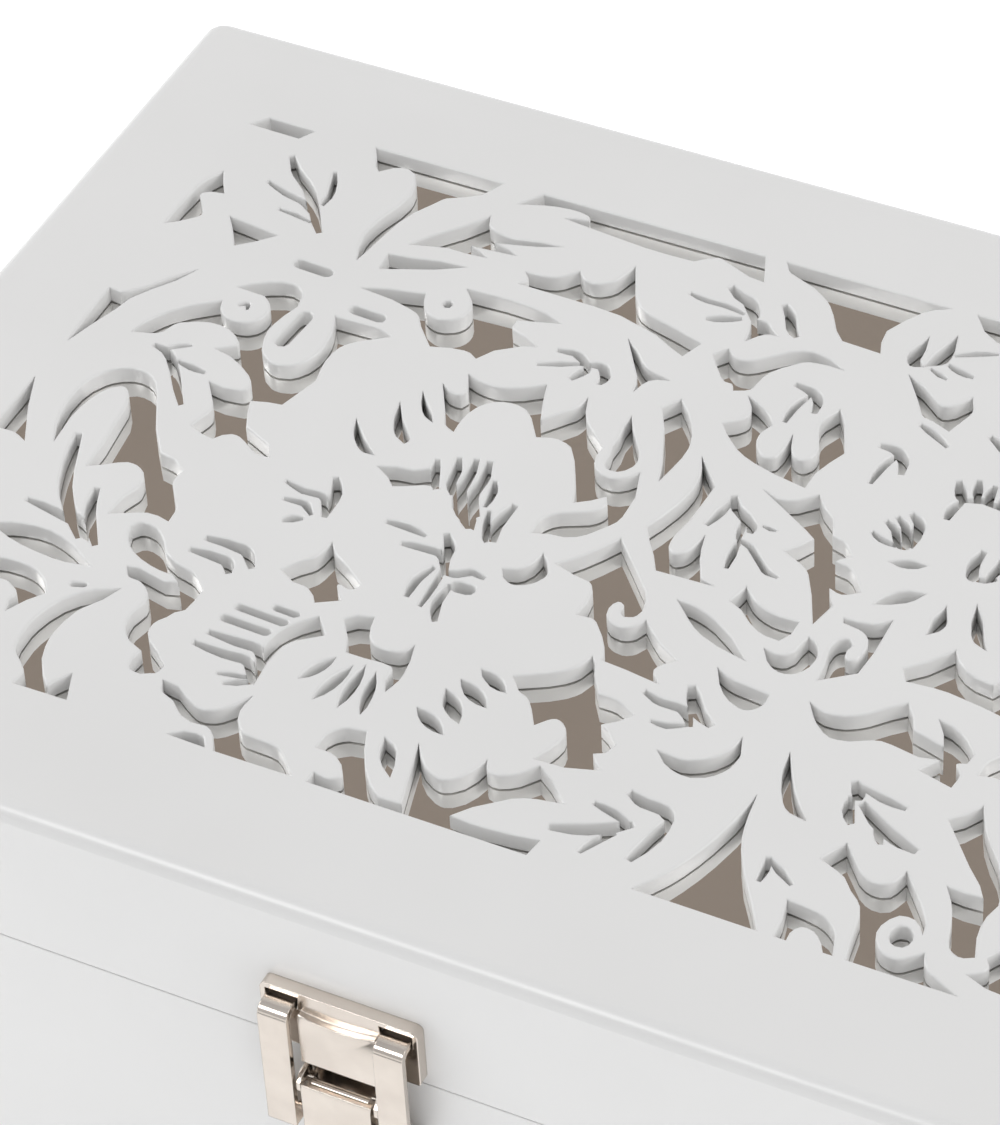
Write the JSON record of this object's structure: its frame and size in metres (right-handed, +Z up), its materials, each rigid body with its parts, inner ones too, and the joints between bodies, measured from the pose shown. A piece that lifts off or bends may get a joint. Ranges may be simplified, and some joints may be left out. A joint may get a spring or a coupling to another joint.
{
  "type": "wedding card box",
  "caption": "White keepsake box for wedding cards, with a hinged lid whose floral fretwork window lies over a mirror, and a nickel draw latch at the front.",
  "frame": {"origin": "on the ground below the middle of the whole object's bounding box", "axes": "+Z up, -Y towards the latch at the front, +X to the right seen from the front"},
  "size_m": [0.26, 0.2034, 0.1099],
  "materials": {
    "lacquer": "white satin lacquer on fibreboard",
    "mirror": "silvered glass",
    "board": "bare hardboard",
    "felt": "pale felt",
    "rubber": "matt",
    "nickel": "satin nickel plate"
  },
  "bodies": {
    "body": {"body_wall_front": "lacquer", "body_wall_back": "lacquer", "body_wall_left": "lacquer", "body_wall_right": "lacquer", "body_base_panel": "board", "body_felt_lining": "felt", "foot_front_left": "rubber", "foot_front_right": "rubber", "foot_back_left": "rubber", "foot_back_right": "rubber", "hinge_left_body_leaf": "nickel", "hinge_left_pin": "nickel", "hinge_left_a_body_screw": "nickel", "hinge_left_b_body_screw": "nickel", "hinge_right_body_leaf": "nickel", "hinge_right_pin": "nickel", "hinge_right_a_body_screw": "nickel", "hinge_right_b_body_screw": "nickel", "latch_base_plate": "nickel", "latch_pivot_pin": "nickel", "latch_plate_screw_upper": "nickel", "latch_plate_screw_lower": "nickel"},
    "lid": {"lid_fretwork_panel": "lacquer", "lid_rail_front": "lacquer", "lid_rail_back": "lacquer", "lid_rail_left": "lacquer", "lid_rail_right": "lacquer", "mirror_bead_front": "lacquer", "mirror_bead_right": "lacquer", "mirror_bead_back": "lacquer", "mirror_bead_left": "lacquer", "lid_mirror": "mirror", "lid_mirror_backing": "board", "hinge_left_lid_leaf": "nickel", "hinge_left_a_lid_screw": "nickel", "hinge_left_b_lid_screw": "nickel", "hinge_right_lid_leaf": "nickel", "hinge_right_a_lid_screw": "nickel", "hinge_right_b_lid_screw": "nickel", "latch_keeper": "nickel", "keeper_screw_left": "nickel", "keeper_screw_right": "nickel"},
    "latch_lever": {"latch_lever": "nickel", "latch_arm_pin": "nickel"},
    "latch_arms": {"latch_arm_left": "nickel", "latch_arm_right": "nickel"}
  },
  "joints": [
    {"name": "lid_hinge", "type": "hinge", "parent": "body", "child": "lid", "pos_m": [0, 0.0983, 0.0801], "axis": [-1, 0, 0], "range_deg": [0, 95]},
    {"name": "latch_lever_pivot", "type": "hinge", "parent": "body", "child": "latch_lever", "pos_m": [-0.0042, -0.0975, 0.0751], "axis": [-1, 0, 0], "range_deg": [0, 140]},
    {"name": "latch_arm_pivot", "type": "hinge", "parent": "latch_lever", "child": "latch_arms", "pos_m": [-0.0042, -0.0967, 0.0681], "axis": [-1, 0, 0], "range_deg": [-182, 0]}
  ],
  "couplings": [
    {"joint": "latch_arm_pivot", "follows": "latch_lever_pivot", "ratio": -1.3}
  ]
}
